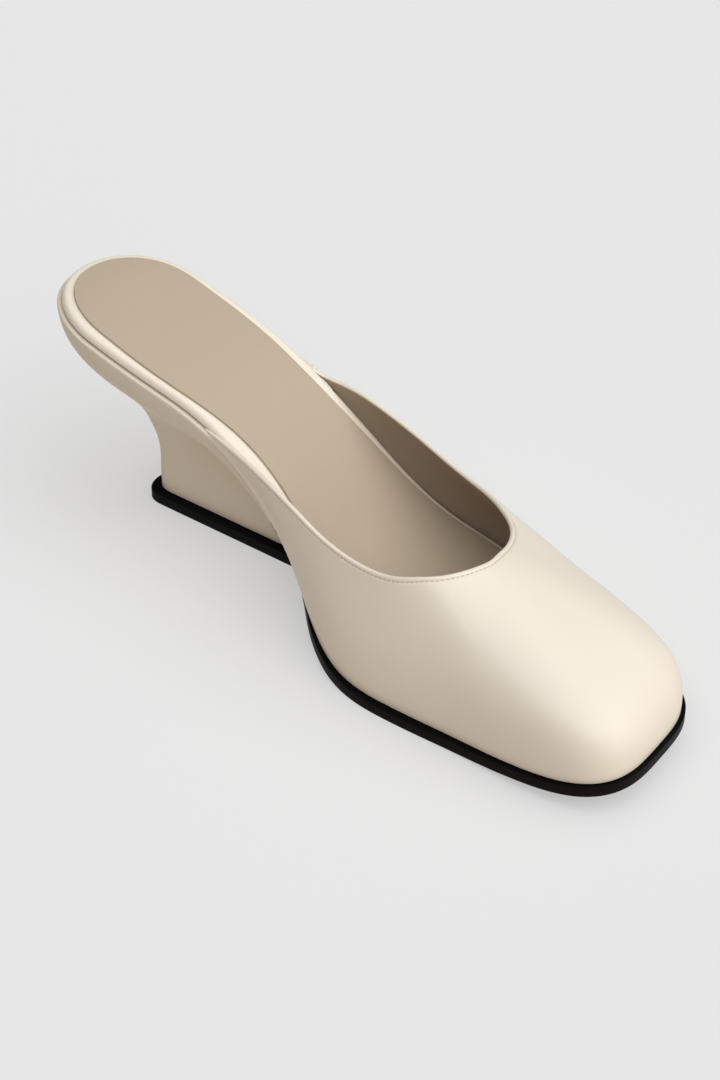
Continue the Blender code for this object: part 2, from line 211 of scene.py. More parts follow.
VAMP = (
    VampRow(0.000, 0.309, -0.216, 1.040, 0.33, 0.000, 0.33, 0.33),
    VampRow(0.050, 0.377, -0.248, 1.024, 0.33, 0.008, 0.33, 0.33),
    VampRow(0.100, 0.440, -0.290, 1.021, 0.33, 0.018, 0.33, 0.33),
    VampRow(0.155, 0.501, -0.320, 0.977, 0.41, 0.028, 0.42, 0.35),
    VampRow(0.200, 0.562, -0.343, 0.926, 0.46, 0.026, 0.56, 0.38),
    VampRow(0.250, 0.640, -0.344, 0.922, 0.50, 0.022, 0.78, 0.42),
    VampRow(0.300, 0.686, -0.304, 0.975, 0.52, 0.021, 0.92, 0.46),
    VampRow(0.350, 0.712, -0.245, 1.002, 0.50, 0.020, 0.97, 0.50),
    VampRow(0.400, 0.727, -0.170, 1.009, 0.50, 0.019, 0.97, 0.54),
    VampRow(0.440, 0.733, -0.110, 1.004, 0.51, 0.019, 0.93, 0.52),
    VampRow(0.480, 0.734, -0.050, 0.990, 0.55, 0.019, 0.85, 0.45),
    VampRow(0.515, 0.729, 0.006, 0.971, 0.60, 0.019, 0.77, 0.35),
    VampRow(0.550, 0.721, 0.078, 0.935, 0.63, 0.019, 0.71, 0.28),
    VampRow(0.590, 0.700, 0.184, 0.877, 0.57, 0.020, 0.63, 0.30),
    VampRow(0.630, 0.670, 0.269, 0.833, 0.53, 0.022, 0.56, 0.32),
    VampRow(0.685, 0.625, 0.339, 0.810, 0.50, 0.026, 0.51, 0.33),
    VampRow(0.735, 0.586, 0.371, 0.800, 0.46, 0.029, 0.45, 0.34),
    VampRow(0.785, 0.539, 0.388, 0.826, 0.41, 0.028, 0.41, 0.34),
    VampRow(0.825, 0.495, 0.394, 0.880, 0.36, 0.022, 0.36, 0.33),
    VampRow(0.875, 0.439, 0.395, 0.946, 0.33, 0.014, 0.33, 0.33),
    VampRow(0.925, 0.373, 0.390, 0.994, 0.33, 0.006, 0.33, 0.33),
    VampRow(0.970, 0.315, 0.374, 1.000, 0.33, 0.000, 0.33, 0.33),
    VampRow(1.000, 0.283, 0.358, 1.050, 0.33, 0.000, 0.33, 0.33),
)


class Wire:
    """A socket of a material, whose value is worked with through Python's operators."""

    def __init__(self, tree: bpy.types.NodeTree, socket: bpy.types.NodeSocket) -> None:
        """Keeps the tree and the socket.

        Args:
            tree: The material's nodes.
            socket: An output socket.
        """
        self.tree = tree
        self.socket = socket

    def _math(self, operation: str, first: Wire | float, second: Wire | float) -> Wire:
        """Adds one Math node.

        Args:
            operation: The node's operation.
            first: Its first value.
            second: Its second value.

        Returns:
            The node's result.
        """
        node = self.tree.nodes.new("ShaderNodeMath")
        node.operation = operation
        for place, value in enumerate((first, second)):
            if isinstance(value, Wire):
                self.tree.links.new(value.socket, node.inputs[place])
            else:
                node.inputs[place].default_value = value
        return Wire(self.tree, node.outputs[0])

    def __add__(self, other: Wire | float) -> Wire:
        """The sum."""
        return self._math("ADD", self, other)

    def __radd__(self, other: float) -> Wire:
        """The sum, the other way round."""
        return self._math("ADD", other, self)

    def __sub__(self, other: Wire | float) -> Wire:
        """The difference."""
        return self._math("SUBTRACT", self, other)

    def __rsub__(self, other: float) -> Wire:
        """The difference, the other way round."""
        return self._math("SUBTRACT", other, self)

    def __mul__(self, other: Wire | float) -> Wire:
        """The product."""
        return self._math("MULTIPLY", self, other)

    def __rmul__(self, other: float) -> Wire:
        """The product, the other way round."""
        return self._math("MULTIPLY", other, self)

    def __truediv__(self, other: Wire | float) -> Wire:
        """The quotient."""
        return self._math("DIVIDE", self, other)

    def __pow__(self, other: Wire | float) -> Wire:
        """The power."""
        return self._math("POWER", self, other)


class MaterialSheet:
    """A material's nodes, made through one method."""

    def __init__(self, name: str) -> None:
        """Starts a material with a Principled shader.

        Args:
            name: The material's name.
        """
        self.material = bpy.data.materials.new(name)
        self.material.use_nodes = True
        self.tree = self.material.node_tree
        self.shader = self.tree.nodes["Principled BSDF"]

    def node(self, kind: str, settings: dict[str, object], inputs: dict[str, object], output: str = "") -> Wire:
        """Adds a node.

        Args:
            kind: The node's type, without the word ShaderNode.
            settings: Values of the node itself, set first. A ramp's stops are given as "stops".
            inputs: Values or wires of its sockets, by name.
            output: The name of the output wanted, or the first one.

        Returns:
            The output.
        """
        node = self.tree.nodes.new("ShaderNode" + kind)
        for name, value in settings.items():
            if name == "stops":
                self._stops(node.color_ramp, value)
            else:
                setattr(node, name, value)
        for name, value in inputs.items():
            sockets = [socket for socket in node.inputs if socket.name == name and socket.enabled]
            if isinstance(value, Wire):
                self.tree.links.new(value.socket, sockets[0])
            else:
                sockets[0].default_value = value
        found = [socket for socket in node.outputs if socket.enabled and (not output or socket.name == output)]
        return Wire(self.tree, found[0])

    @staticmethod
    def _stops(ramp: bpy.types.ColorRamp, stops: Sequence[tuple[float, float]]) -> None:
        """Sets a ramp's grey stops from pairs of place and value."""
        while len(ramp.elements) < len(stops):
            ramp.elements.new(0.5)
        for element, (place, value) in zip(ramp.elements, stops):
            element.position = place
            element.color = (value, value, value, 1.0)

    def place(self) -> Wire:
        """The place on the object, in metres."""
        return self.node("TexCoord", {}, {}, "Object")

    def noise(self, size: float, detail: float = 2.0, place: Wire | None = None) -> Wire:
        """A soft noise around 0.5.

        Args:
            size: The size of its features, in metres.
            detail: Its octaves.
            place: Where to read it, or the place on the object.

        Returns:
            The noise.
        """
        where = place or self.place()
        return self.node("TexNoise", {}, {"Vector": where, "Scale": 1.0 / size, "Detail": detail}, "Fac")

    def mix(self, share: Wire | float, first: object, second: object) -> Wire:
        """Mixes two colours.

        Args:
            share: How much of the second.
            first: A colour or a wire.
            second: A colour or a wire.

        Returns:
            The colour.
        """
        return self.node("Mix", {"data_type": "RGBA"}, {"Factor": share, "A": first, "B": second})

    def into(self, name: str, value: object) -> None:
        """Sets one input of the shader to a value, or links it to a wire."""
        if isinstance(value, Wire):
            self.tree.links.new(value.socket, self.shader.inputs[name])
        else:
            self.shader.inputs[name].default_value = value

    def bump(self, height: Wire, distance: float, strength: float = 1.0) -> None:
        """Raises the surface by a height of 0 to 1 times a distance."""
        made = self.node("Bump", {}, {"Height": height, "Distance": distance, "Strength": strength})
        self.into("Normal", made)


def rgba(colour: Sequence[float]) -> tuple[float, float, float, float]:
    """A linear colour with full alpha."""
    return (colour[0], colour[1], colour[2], 1.0)


@dataclass(frozen=True)
class SmoothLeather:
    """A smooth finished leather: a pigmented film with a very fine grain and a satin gloss."""

    name: str
    colour: tuple[float, float, float]
    warm: tuple[float, float, float]  # the shade that slow changes go towards
    roughness: float = 0.42
    grain: float = 0.55 * MM  # the size of a grain cell
    depth: float = 0.010 * MM
    cloud: float = 26.0 * MM  # the size of the slow changes of colour

    def material(self) -> bpy.types.Material:
        """The finish as a material."""
        sheet = MaterialSheet(self.name)
        slow = sheet.noise(self.cloud, 2.0)
        fine = sheet.noise(self.grain * 3.0, 3.0)
        colour = sheet.mix(slow, rgba(self.colour), rgba(self.warm))
        sheet.into("Base Color", colour)
        cells = sheet.node(
            "TexVoronoi",
            {"feature": "DISTANCE_TO_EDGE"},
            {"Vector": sheet.place(), "Scale": 1.0 / self.grain},
            "Distance",
        )
        creases = sheet.node("ValToRGB", {"stops": ((0.0, 0.0), (0.16, 1.0))}, {"Fac": cells})
        sheet.into("Roughness", self.roughness + (fine - 0.5) * 0.10 + (slow - 0.5) * 0.05)
        sheet.bump(creases * 0.7 + fine * 0.6, self.depth)
        sheet.into("Specular IOR Level", 0.45)
        return sheet.material


@dataclass(frozen=True)
class LiningLeather:
    """An uncoated lining leather: matt, with a soft nap."""

    name: str
    colour: tuple[float, float, float]
    dark: tuple[float, float, float]
    roughness: float = 0.62
    nap: float = 0.9 * MM
    depth: float = 0.02 * MM
    crease: float = 0.0  # how deep its soft wrinkles are, in metres
    crease_size: float = 9.0 * MM

    def material(self) -> bpy.types.Material:
        """The finish as a material."""
        sheet = MaterialSheet(self.name)
        nap = sheet.noise(self.nap, 4.0)
        slow = sheet.noise(22.0 * MM, 2.0)
        sheet.into("Base Color", sheet.mix(slow * 0.6 + nap * 0.4, rgba(self.colour), rgba(self.dark)))
        sheet.into("Roughness", self.roughness + (nap - 0.5) * 0.12)
        height = nap * self.depth
        if self.crease:
            stretched = sheet.node(
                "Mapping",
                {"vector_type": "POINT"},
                {"Vector": sheet.place(), "Scale": (1.0, 1.0, 0.35)},
            )
            height = height + sheet.noise(self.crease_size, 2.0, stretched) * self.crease
        sheet.bump(height / MM, MM)
        sheet.into("Specular IOR Level", 0.35)
        return sheet.material


@dataclass(frozen=True)
class DyedSole:
    """A black sole, whose cut edge browns a little towards the floor."""

    name: str
    colour: tuple[float, float, float]
    edge: tuple[float, float, float]
    roughness: float = 0.45

    def material(self) -> bpy.types.Material:
        """The finish as a material."""
        sheet = MaterialSheet(self.name)
        scuff = sheet.noise(3.0 * MM, 4.0)
        fine = sheet.noise(0.4 * MM, 2.0)
        rows = sheet.node("UVMap", {"uv_map": "rows"}, {})
        height = sheet.node("SeparateXYZ", {}, {"Vector": rows}, "Y")
        low = sheet.node("ValToRGB", {"stops": ((0.36, 1.0), (0.62, 0.0))}, {"Fac": height})
        sheet.into("Base Color", sheet.mix(low, rgba(self.colour), rgba(self.edge)))
        sheet.into("Roughness", self.roughness + (scuff - 0.5) * 0.14)
        sheet.into("Specular IOR Level", 0.05)
        sheet.bump(scuff * 0.6 + fine * 0.4, 0.03 * MM)
        return sheet.material


@dataclass(frozen=True)
class MouldedRubber:
    """The black rubber of the heel's top piece."""

    name: str
    colour: tuple[float, float, float]
    roughness: float = 0.5

    def material(self) -> bpy.types.Material:
        """The finish as a material."""
        sheet = MaterialSheet(self.name)
        speck = sheet.noise(0.8 * MM, 3.0)
        slow = sheet.noise(9.0 * MM, 2.0)
        sheet.into("Base Color", sheet.mix(slow, rgba(self.colour), rgba([c * 1.6 for c in self.colour])))
        sheet.into("Roughness", self.roughness + (speck - 0.5) * 0.12)
        sheet.into("Specular IOR Level", 0.05)
        sheet.bump(speck, 0.02 * MM)
        return sheet.material


@dataclass(frozen=True)
class Thread:
    """A bonded sewing thread with two turned plies."""

    name: str
    colour: tuple[float, float, float]

    def material(self) -> bpy.types.Material:
        """The finish as a material."""
        sheet = MaterialSheet(self.name)
        ply = sheet.noise(0.18 * MM, 2.0)
        sheet.into("Base Color", sheet.mix(ply, rgba(self.colour), rgba([c * 0.82 for c in self.colour])))
        sheet.into("Roughness", 0.6)
        sheet.bump(ply, 0.03 * MM)
        return sheet.material


CREAM = SmoothLeather("cream_vamp_leather", (0.845, 0.772, 0.66), (0.835, 0.752, 0.635))
CREAM_EDGE = SmoothLeather("cream_board_wrap", (0.86, 0.785, 0.665), (0.85, 0.765, 0.64))
# The heel's wrap is the vamp's cream leather made darker: painted shade over the whole heel cover.
CREAM_HEEL_PAINTED_SHADE = SmoothLeather("cream_heel_wrap_painted_shade", (0.715, 0.64, 0.535), (0.70, 0.62, 0.51))
TAUPE_SOCK = LiningLeather("taupe_sock_leather", (0.50, 0.41, 0.305), (0.475, 0.385, 0.285))
# The lining is the sock's taupe leather made darker: painted shade for the inside of the upper.
TAUPE_LINING_PAINTED_SHADE = LiningLeather(
    "taupe_lining_painted_shade", (0.43, 0.34, 0.26), (0.38, 0.30, 0.225), crease=0.35 * MM
)
BLACK_SOLE = DyedSole("black_sole_leather", (0.0025, 0.0025, 0.0025), (0.014, 0.009, 0.007))
BLACK_RUBBER = MouldedRubber("black_rubber", (0.0025, 0.0025, 0.0025))
# A cream thread made darker, to a tan: partly its own colour, partly painted shade for the stitch groove.
THREAD_PAINTED_GROOVE_SHADE = Thread("thread_painted_groove_shade", (0.66, 0.56, 0.44))


def sheet_of(rows: Sequence[Sequence[Vector]], closed: bool) -> bmesh.types.BMesh:
    """A grid laid through rows of points, with its row and column as UVs.

    Args:
        rows: Rows of equal count.
        closed: Whether each row runs round and meets itself.

    Returns:
        The mesh, with its doubles merged and its normals outwards where it is closed.
    """
    columns = len(rows[0]) + (1 if closed else 0)
    bm = bmesh.new()
    bm.loops.layers.uv.new("rows")
    bmesh.ops.create_grid(
        bm, x_segments=columns - 1, y_segments=len(rows) - 1, size=0.5, matrix=Matrix.Identity(4), calc_uvs=True
    )
    for vertex in bm.verts:
        column = round((vertex.co.x + 0.5) * (columns - 1)) % len(rows[0])
        row = round((vertex.co.y + 0.5) * (len(rows) - 1))
        vertex.co = rows[row][column]
    bmesh.ops.remove_doubles(bm, verts=bm.verts, dist=0.002 * MM)
    bmesh.ops.recalc_face_normals(bm, faces=bm.faces)
    return bm


def to_object(name: str, bm: bmesh.types.BMesh, material: bpy.types.Material, sharp: float = 40.0) -> bpy.types.Object:
    """Turns a mesh into a piece that rides on the shoe.

    Args:
        name: The piece's name.
        bm: Its mesh, freed here.
        material: Its finish.
        sharp: The angle in degrees past which an edge stays sharp.

    Returns:
        The piece.
    """
    mesh = bpy.data.meshes.new(name)
    bm.to_mesh(mesh)
    bm.free()
    mesh.shade_smooth()
    mesh.set_sharp_from_angle(angle=math.radians(sharp))
    mesh.materials.append(material)
    piece = bpy.data.objects.new(name, mesh)
    bpy.context.scene.collection.objects.link(piece)
    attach(piece, "root")
    LOG.info("%s: %d faces", name, len(mesh.polygons))
    return piece


def roll(radius: float, count: int, start: float = 0.0, end: float = 90.0) -> list[tuple[float, float]]:
    """A rounded edge as pairs of how far in and how far up from its start.

    Args:
        radius: The radius.
        count: How many steps.
        start: The first angle, 0 on the side and 90 on the top.
        end: The last angle.

    Returns:
        The pairs, each a share of the way round.
    """
    turns = [math.radians(start + (end - start) * i / count) for i in range(count + 1)]
    return [(radius * (1.0 - math.cos(turn)), radius * math.sin(turn)) for turn in turns]


@dataclass
class Last:
    """The form that the shoe is made on: the edge of the board and the bed that it lies on."""

    length: float = 244.0 * MM
    ball_width: float = 83.0 * MM
    seat_height: float = 66.6 * MM
    instep_height: float = 48.0 * MM
    toe_spring: float = 7.6 * MM
    sole: float = 3.6 * MM
    clearance: float = 0.3 * MM
    wall: float = 1.8 * MM
    welt: float = 1.4 * MM
    ledge: float = 1.6 * MM
    heel_round: float = 0.123
    toe_round: float = 0.834
    heel_power: float = 2.1
    toe_power: float = 3.5
    toe_slant: float = 0.145
    toe_slant_start: float = 0.78
    toe_slant_trim: float = 0.049
    spring_start: float = 0.72
    spring_power: float = 1.9
    origin: tuple[float, float] = (-121.8285 * MM, -4.0729 * MM)  # the model's zero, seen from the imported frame
    round_steps: int = 26
    straight_steps: int = 96
    first_turn: float = 1.2  # degrees short of the very tip
    board_centre: Curve = field(init=False)
    board_half: Curve = field(init=False)
    bed_share: Curve = field(init=False)

    def __post_init__(self) -> None:
        """Makes the curves."""
        along = [row.along for row in BOARD]
        self.board_centre = Curve(along, [row.centre for row in BOARD])
        self.board_half = Curve(along, [row.half for row in BOARD])
        self.bed_share = Curve([row[0] for row in BED], [row[1] for row in BED])

    def bed(self, x: float) -> float:
        """The height of the bed at a distance from the back."""
        share = x / self.length
        seat = (self.seat_height - self.sole) * max(0.0, self.bed_share(share))
        spring = max(0.0, (share - self.spring_start) / (1.0 - self.spring_start)) ** self.spring_power
        return self.sole + seat + self.toe_spring * spring

    def slope(self, x: float) -> float:
        """The rise of the bed towards the toe."""
        step = 0.5 * MM
        return (self.bed(x + step) - self.bed(x - step)) / (2 * step)

    def on_bed(self, x: float, y: float, lift: float) -> Vector:
        """A point at a height above the bed, measured square to it.

        Args:
            x: The distance from the back.
            y: The distance from the middle, to the outer side.
            lift: The height.

        Returns:
            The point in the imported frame.
        """
        slope = self.slope(x)
        size = math.hypot(1.0, slope)
        return self.seen(x - lift * slope / size, y, self.bed(x) + lift / size)

    def seen(self, x: float, y: float, z: float) -> Vector:
        """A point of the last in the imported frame."""
        return Vector((x + self.origin[0], y + self.origin[1], z))

    def stations(self) -> list[tuple[float, float]]:
        """Pairs of a share of the length and of the half width there, from the heel to the toe."""
        first = math.radians(self.first_turn)
        turns = [first + (math.pi / 2 - first) * i / self.round_steps for i in range(self.round_steps)]
        back = self.ledge / self.length
        trim = (self.clearance + self.wall + self.welt) / self.length
        front = 1.0 - trim - self.toe_slant * self.toe_slant_trim
        found = []
        for turn in turns:
            along = math.cos(turn) ** (2 / self.heel_power)
            found.append((self.heel_round - (self.heel_round - back) * along, math.sin(turn) ** (2 / self.heel_power)))
        for i in range(self.straight_steps + 1):
            found.append((self.heel_round + (self.toe_round - self.heel_round) * i / self.straight_steps, 1.0))
        for turn in reversed(turns):
            along = math.cos(turn) ** (2 / self.toe_power)
            found.append((self.toe_round + (front - self.toe_round) * along, math.sin(turn) ** (2 / self.toe_power)))
        return found

    def edge(self, offset: Callable[[float, Side], float] | float) -> list[tuple[float, float]]:
        """The edge of the board moved outwards, as a ring from the heel along the inner side and back.

        Args:
            offset: A length, or a function of the share of the length and the side that gives one.

        Returns:
            Points in plan, in the last's own frame.
        """
        inner, outer = [], []
        for share, width in self.stations():
            centre = self.board_centre(share) * self.ball_width
            half = self.board_half(share) * width * self.ball_width
            run = (share - self.toe_slant_start) / (self.toe_round - self.toe_slant_start)
            slant = self.toe_slant * max(0.0, min(1.0, run))
            inner.append((share * self.length - slant * (centre - half), centre - half))
            outer.append((share * self.length - slant * (centre + half), centre + half))
        loop = inner + outer[::-1]
        moved = []
        for i, (x, y) in enumerate(loop):
            before, after = loop[i - 1], loop[(i + 1) % len(loop)]
            along = Vector((after[0] - before[0], after[1] - before[1])).normalized()
            side = Side.INNER if i < len(inner) else Side.OUTER
            distance = offset(x / self.length, side) if callable(offset) else offset
            moved.append((x + along.y * distance, y - along.x * distance))
        return moved

    def ring(self, offset: Callable[[float, Side], float] | float, lift: float) -> list[Vector]:
        """A ring round the board at an offset and a height above the bed."""
        return [self.on_bed(x, y, lift) for x, y in self.edge(offset)]


def to_spine(ring: Sequence[Vector], rows: int, rise: float = 0.0) -> list[list[Vector]]:
    """Rows that close a ring over: each moves further to the line midway between the two sides.

    Args:
        ring: A ring whose first half faces its second half.
        rows: How many rows.
        rise: How far the middle stands up.

    Returns:
        The rows, the last one folded on the middle line.
    """
    closed = []
    for k in range(1, rows + 1):
        share = k / rows
        row = []
        for i, point in enumerate(ring):
            middle = (point + ring[-1 - i]) / 2
            moved = point.lerp(middle, share)
            moved.z += rise * math.sin(share * math.pi / 2)
            row.append(moved)
        closed.append(row)
    return closed


def closed_body(rings: Sequence[Sequence[Vector]], rows: int, rise: float = 0.0) -> bmesh.types.BMesh:
    """A closed body through rings, closed over below and above.

    Args:
        rings: Rings from the lowest to the highest.
        rows: How many rows close each end.
        rise: How far the middle of the top stands up.

    Returns:
        The mesh.
    """
    below = to_spine(rings[0], rows)[::-1]
    above = to_spine(rings[-1], rows, rise)
    return sheet_of([*below, *rings, *above], True)


@dataclass
class Footbed:
    """The insole board with its wrapped, rolled edge, and the sock lining on it."""

    last: Last
    thickness: float = 2.6 * MM
    rolled: float = 1.9 * MM
    sock: float = 0.6 * MM
    sock_edge: float = 0.28 * MM
    roll_steps: int = 9

    def board(self) -> bpy.types.Object:
        """The board: an upright side, a rolled upper edge and a flat top."""
        low = self.last.clearance
        rings = [self.last.ring(-0.25 * MM, low), self.last.ring(0.0, low + 0.25 * MM)]
        start = low + self.thickness - self.rolled
        for inset, rise in roll(self.rolled, self.roll_steps):
            rings.append(self.last.ring(-inset, start + rise))
        piece = to_object("insole_board_wrap", closed_body(rings, 5), CREAM_EDGE.material())
        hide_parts("insole")
        return piece

    def inset(self, share: float, side: Side) -> float:
        """How far inwards the sock lining ends, below zero, at a place along the shoe."""
        return -self.last.ball_width * (self.inner(share) if side is Side.INNER else self.outer(share))

    def lining(self) -> bpy.types.Object:
        """The sock lining: a thin sheet with a softly pressed edge."""
        self.inner = Curve([row.along for row in SOCK], [row.inner for row in SOCK])
        self.outer = Curve([row.along for row in SOCK], [row.outer for row in SOCK])
        base = self.thickness + 2 * self.last.clearance
        rings = [self.last.ring(self.inset, base - 0.22 * MM), self.last.ring(self.inset, base + self.sock - self.sock_edge)]
        for inset, rise in roll(self.sock_edge, 4)[1:]:
            ring = self.last.ring(
                lambda share, side, inset=inset: self.inset(share, side) - inset, base + self.sock - self.sock_edge + rise
            )
            rings.append(ring)
        piece = to_object("sock_leather", closed_body(rings, 6), TAUPE_SOCK.material())
        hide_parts("sock_lining")
        return piece

    def build(self) -> None:
        """Makes both pieces."""
        self.board()
        self.lining()


@dataclass
class Sole:
    """The thin leather outsole, from the breast of the heel to the toe."""

    last: Last
    start: float = 102.3 * MM
    edge: float = 0.6 * MM
    edge_steps: int = 4

    def welt(self, share: float) -> float:
        """How far the outsole stands out past the upper."""
        return self.last.welt * self.run(share)

    def ring(self, inset: float, depth: float) -> list[Vector]:
        """A ring round the sole.

        Args:
            inset: How far in from its widest.
            depth: How far below the bed, as a share of its thickness.

        Returns:
            The points, from the breast along the inner side and back.
        """
        past = self.last.clearance + self.last.wall
        edge = self.last.edge(lambda share, side: past - inset + self.welt(share))
        half = len(edge) // 2
        first = self.first
        sides = [[(self.start, edge[first][1])] + edge[first:half], edge[half : len(edge) - first]]
        sides[1] = sides[1] + [(self.start, sides[1][-1][1])]
        points = []
        for x, y in sides[0] + sides[1]:
            thick = self.last.sole * math.hypot(1.0, self.last.slope(x))
            points.append(self.last.seen(x, y, self.last.bed(x) - thick * depth))
        return points

    def build(self) -> None:
        """Makes the sole with a rounded lower edge and a slightly rounded upper one."""
        self.run = Curve([row[0] for row in WELT_RUN], [row[1] for row in WELT_RUN])
        stations = self.last.stations()
        margin = (self.start + 0.6 * MM) / self.last.length
        self.first = next(i for i, (share, _) in enumerate(stations) if share > margin)
        rings = []
        for inset, rise in reversed(roll(self.edge, self.edge_steps)):
            rings.append(self.ring(inset, 1.0 - (self.edge - rise) / self.last.sole))
        rings = [self.ring(inset, 1.0 - (self.edge - rise) / self.last.sole) for inset, rise in self._lower()]
        rings += [self.ring(inset, (0.3 * MM - rise) / self.last.sole) for inset, rise in roll(0.3 * MM, 3)]
        piece = to_object("sole_leather", closed_body(rings, 4), BLACK_SOLE.material())
        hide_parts("outsole")

    def _lower(self) -> list[tuple[float, float]]:
        """The rounded lower edge, from the tread up to the side."""
        turns = [math.pi / 2 * i / self.edge_steps for i in range(self.edge_steps + 1)]
        return [(self.edge * (1.0 - math.sin(turn)), self.edge * (1.0 - math.cos(turn))) for turn in turns]


@dataclass
class Heel:
    """The covered wedge with the lip of its ledge, and the black top piece under it."""

    last: Last
    front: float = 102.0 * MM
    thickness: float = 4.5 * MM
    flange: float = 2.6 * MM
    width: float = 25.4 * MM
    setback: float = 37.0 * MM
    corner: float = 8.5 * MM
    centre: float = 1.4 * MM
    turn: float = 0.109
    power: float = 2.9
    edge: float = 0.6 * MM
    levels: int = 44

    def shares(self) -> list[float]:
        """The stations over the heel, and one at its breast."""
        breast = self.front / self.last.length
        return [share for share, _ in self.last.stations() if share < breast - 0.002] + [breast]

    def line(self, x: float) -> float:
        """The middle of the heel's foot."""
        return self.centre + self.turn * (x - self.setback)

    def foot(self, inset: float) -> list[tuple[float, float]]:
        """The outline of the top piece drawn in by an inset, as a ring."""
        back = self.setback + inset
        half = self.width / 2 - inset
        inner, outer = [], []
        round_share = self.last.heel_round
        for share in self.shares():
            if share < round_share:
                turn = math.acos(min(1.0, (round_share - share) / round_share))
                x = back + self.corner * (1.0 - math.cos(turn) ** (2 / self.power))
                width = math.sin(turn) ** (2 / self.power)
            else:
                run = (share - round_share) / (self.front / self.last.length - round_share)
                x = back + self.corner + (self.front - back - self.corner) * run
                width = 1.0
            inner.append((x, self.line(x) - half * width))
            outer.append((x, self.line(x) + half * width))
        return inner + outer[::-1]

    def ledge(self, offset: float) -> list[tuple[float, float]]:
        """The edge of the ledge at an offset from the board, as a ring with the foot's stations."""
        loop = self.last.edge(offset)
        half = len(loop) // 2
        count = len(self.shares()) - 1
        sides = []
        for side in (loop[:half], loop[half:][::-1]):
            before, after = side[count - 1], side[count]
            run = (self.front - before[0]) / (after[0] - before[0])
            sides.append(side[:count] + [(self.front, before[1] + run * (after[1] - before[1]))])
        return sides[0] + sides[1][::-1]

    def cover(self) -> bpy.types.Object:
        """The covered block: upright at its foot, flaring out to the lip under the insole board."""
        flare = Curve([row[0] for row in HEEL_FLARE], [row[1] for row in HEEL_FLARE])
        foot = self.foot(self.flange)
        ledge = self.ledge(self.last.ledge)
        ground = self.thickness + self.last.clearance
        lip = 0.7 * MM
        rings = []
        for level in range(self.levels + 1):
            share = level / self.levels
            ring = []
            out = flare(share)
            for (foot_x, foot_y), (top_x, top_y) in zip(foot, ledge):
                height = ground + share * (self.last.bed(top_x) - lip - ground)
                ring.append(self.last.seen(foot_x + out * (top_x - foot_x), foot_y + out * (top_y - foot_y), height))
            rings.append(ring)
        for inset, rise in roll(lip, 5)[1:]:
            ring = [self.last.on_bed(x, y, rise - lip) for x, y in self.ledge(self.last.ledge - inset)]
            rings.append(ring)
        rings.append([self.last.on_bed(x, y, -0.30 * MM) for x, y in self.ledge(0.15 * MM)])
        rings.append([self.last.on_bed(x, y, -0.35 * MM) for x, y in self.ledge(-0.5 * MM)])
        # The heel cover's finish is the cream leather darkened with painted shade.
        piece = to_object("heel_cover_leather", closed_body(rings, 4), CREAM_HEEL_PAINTED_SHADE.material(), 50.0)
        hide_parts("heel")
        return piece

    def top_piece(self) -> bpy.types.Object:
        """The black piece that the heel walks on."""
        rings = []
        for inset, rise in reversed(roll(self.edge, 4)):
            rings.append((inset, self.edge - rise))
        for inset, rise in roll(self.edge, 4):
            rings.append((inset, self.thickness - self.edge + rise))
        bodies = [[self.last.seen(x, y, height) for x, y in self.foot(inset)] for inset, height in rings]
        piece = to_object("heel_top_rubber", closed_body(bodies, 4), BLACK_RUBBER.material())
        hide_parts("heel_top_piece")
        return piece

    def build(self) -> None:
        """Makes both pieces."""
        self.cover()
        self.top_piece()


